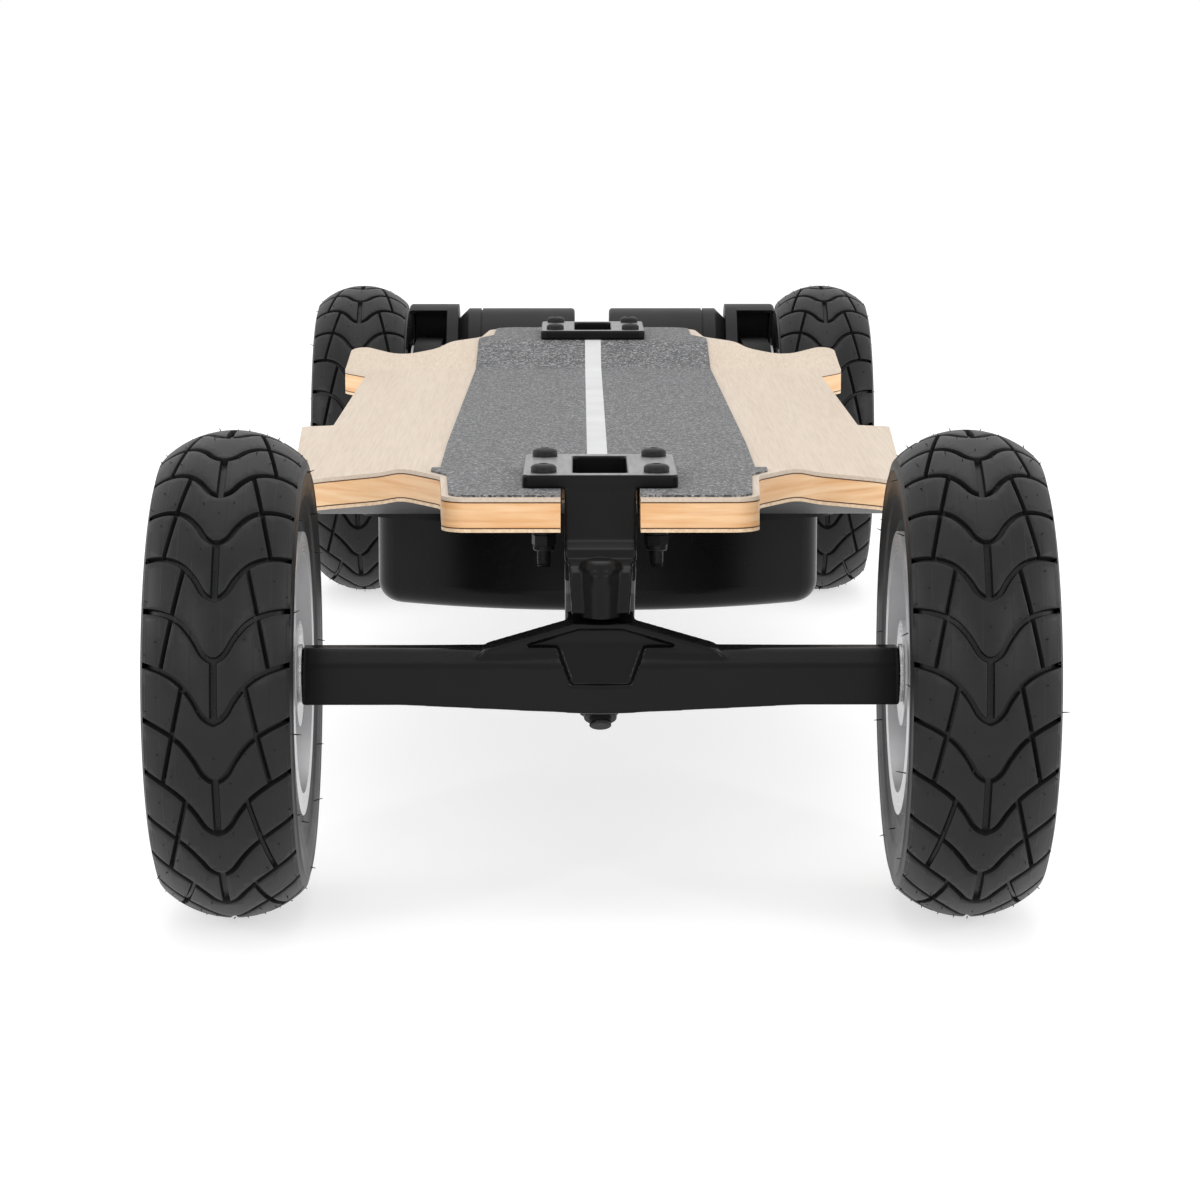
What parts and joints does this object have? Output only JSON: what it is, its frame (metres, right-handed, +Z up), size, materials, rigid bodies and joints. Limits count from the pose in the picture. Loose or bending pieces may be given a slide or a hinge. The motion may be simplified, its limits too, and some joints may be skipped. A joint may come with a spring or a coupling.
{
  "type": "electric skateboard",
  "caption": "All-terrain electric skateboard: dropped bamboo deck on two sprung trucks, air-filled chevron tyres, belt drive at the rear and an enclosure under the deck.",
  "frame": {"origin": "on the ground, midway between the axles on the centre line", "axes": "+X to the right, +Y towards the tail and the driven truck, +Z up"},
  "size_m": [0.3262, 0.995, 0.175],
  "materials": {
    "bamboo_core": "satin",
    "battery_wrap": "satin",
    "belt_rubber": "matte",
    "black_steel": "satin",
    "bottom_veneer": "satin",
    "bright_steel": "polished",
    "button_metal": "satin",
    "cast_black": "gloss",
    "controller_aluminium": "satin",
    "cover_plastic": "matte",
    "gasket_rubber": "matte",
    "grip_tape": "matte",
    "motor_black": "satin",
    "mount_black": "satin",
    "port_plastic": "matte",
    "pulley_aluminium": "satin",
    "rim_aluminium": "satin",
    "stripe": "satin",
    "top_veneer": "satin",
    "tub_plastic": "satin",
    "tyre_rubber": "gloss",
    "urethane": "satin"
  },
  "bodies": {
    "deck": {"deck_top_ply": "top_veneer", "deck_core": "bamboo_core", "deck_bottom_ply": "bottom_veneer", "grip_tape": "grip_tape", "centre_stripe": "stripe", "front_baseplate": "cast_black", "rear_baseplate": "cast_black", "pivot_cups": "urethane", "kingpins": "black_steel", "kingpin_nuts": "black_steel", "front_bushings": "urethane", "rear_bushings": "urethane", "deck_bolts": "black_steel", "deck_nuts": "black_steel", "enclosure_tub": "tub_plastic", "enclosure_gasket": "gasket_rubber", "enclosure_screws": "black_steel", "battery_pack": "battery_wrap", "motor_controller": "controller_aluminium", "charge_port": "port_plastic", "cable_glands": "port_plastic"},
    "power_button": {"power_button": "button_metal"},
    "front_truck": {"front_hanger": "cast_black", "front_axle": "bright_steel", "front_axle_nuts": "bright_steel"},
    "rear_truck": {"rear_hanger": "cast_black", "rear_axle": "bright_steel", "rear_axle_nuts": "bright_steel", "left_motor_mount": "mount_black", "left_motor_housing": "motor_black", "left_belt": "belt_rubber", "left_belt_cover": "cover_plastic", "right_motor_mount": "mount_black", "right_motor_housing": "motor_black", "right_belt": "belt_rubber", "right_belt_cover": "cover_plastic"},
    "front_left_wheel": {"front_left_tyre": "tyre_rubber", "front_left_rim": "rim_aluminium", "front_left_bearings": "bright_steel", "front_left_rim_bolts": "bright_steel"},
    "front_right_wheel": {"front_right_tyre": "tyre_rubber", "front_right_rim": "rim_aluminium", "front_right_bearings": "bright_steel", "front_right_rim_bolts": "bright_steel"},
    "rear_left_wheel": {"rear_left_tyre": "tyre_rubber", "rear_left_rim": "rim_aluminium", "rear_left_bearings": "bright_steel", "rear_left_rim_bolts": "bright_steel", "left_wheel_pulley": "pulley_aluminium"},
    "rear_right_wheel": {"rear_right_tyre": "tyre_rubber", "rear_right_rim": "rim_aluminium", "rear_right_bearings": "bright_steel", "rear_right_rim_bolts": "bright_steel", "right_wheel_pulley": "pulley_aluminium"},
    "left_motor_rotor": {"left_rotor": "bright_steel", "left_motor_pulley": "pulley_aluminium"},
    "right_motor_rotor": {"right_rotor": "bright_steel", "right_motor_pulley": "pulley_aluminium"}
  },
  "joints": [
    {"name": "front_steer", "type": "hinge", "parent": "deck", "child": "front_truck", "pos_m": [0, -0.37, 0.09], "axis": [0, -0.8202, 0.572], "range_deg": [-10, 10], "stiffness_Nm_per_rad": 60, "deforming": ["front_bushings"]},
    {"name": "rear_steer", "type": "hinge", "parent": "deck", "child": "rear_truck", "pos_m": [0, 0.37, 0.09], "axis": [0, 0.8202, 0.572], "range_deg": [-10, 10], "stiffness_Nm_per_rad": 60, "deforming": ["rear_bushings"]},
    {"name": "front_left_spin", "type": "hinge", "parent": "front_truck", "child": "front_left_wheel", "pos_m": [-0.131, -0.41, 0.0875], "axis": [1, 0, 0], "continuous": true},
    {"name": "front_right_spin", "type": "hinge", "parent": "front_truck", "child": "front_right_wheel", "pos_m": [0.131, -0.41, 0.0875], "axis": [1, 0, 0], "continuous": true},
    {"name": "rear_left_spin", "type": "hinge", "parent": "rear_truck", "child": "rear_left_wheel", "pos_m": [-0.131, 0.41, 0.0875], "axis": [1, 0, 0], "continuous": true},
    {"name": "rear_right_spin", "type": "hinge", "parent": "rear_truck", "child": "rear_right_wheel", "pos_m": [0.131, 0.41, 0.0875], "axis": [1, 0, 0], "continuous": true},
    {"name": "left_motor_spin", "type": "hinge", "parent": "rear_truck", "child": "left_motor_rotor", "pos_m": [-0.05, 0.464, 0.1275], "axis": [1, 0, 0], "continuous": true},
    {"name": "right_motor_spin", "type": "hinge", "parent": "rear_truck", "child": "right_motor_rotor", "pos_m": [0.05, 0.464, 0.1275], "axis": [1, 0, 0], "continuous": true},
    {"name": "power_button_press", "type": "slide", "parent": "deck", "child": "power_button", "axis": [-1, 0, 0], "range_m": [0, 0.0015], "stiffness_N_per_m": 800}
  ],
  "couplings": [
    {"joint": "left_motor_spin", "follows": "rear_left_spin", "ratio": 4.4},
    {"joint": "right_motor_spin", "follows": "rear_right_spin", "ratio": 4.4}
  ]
}
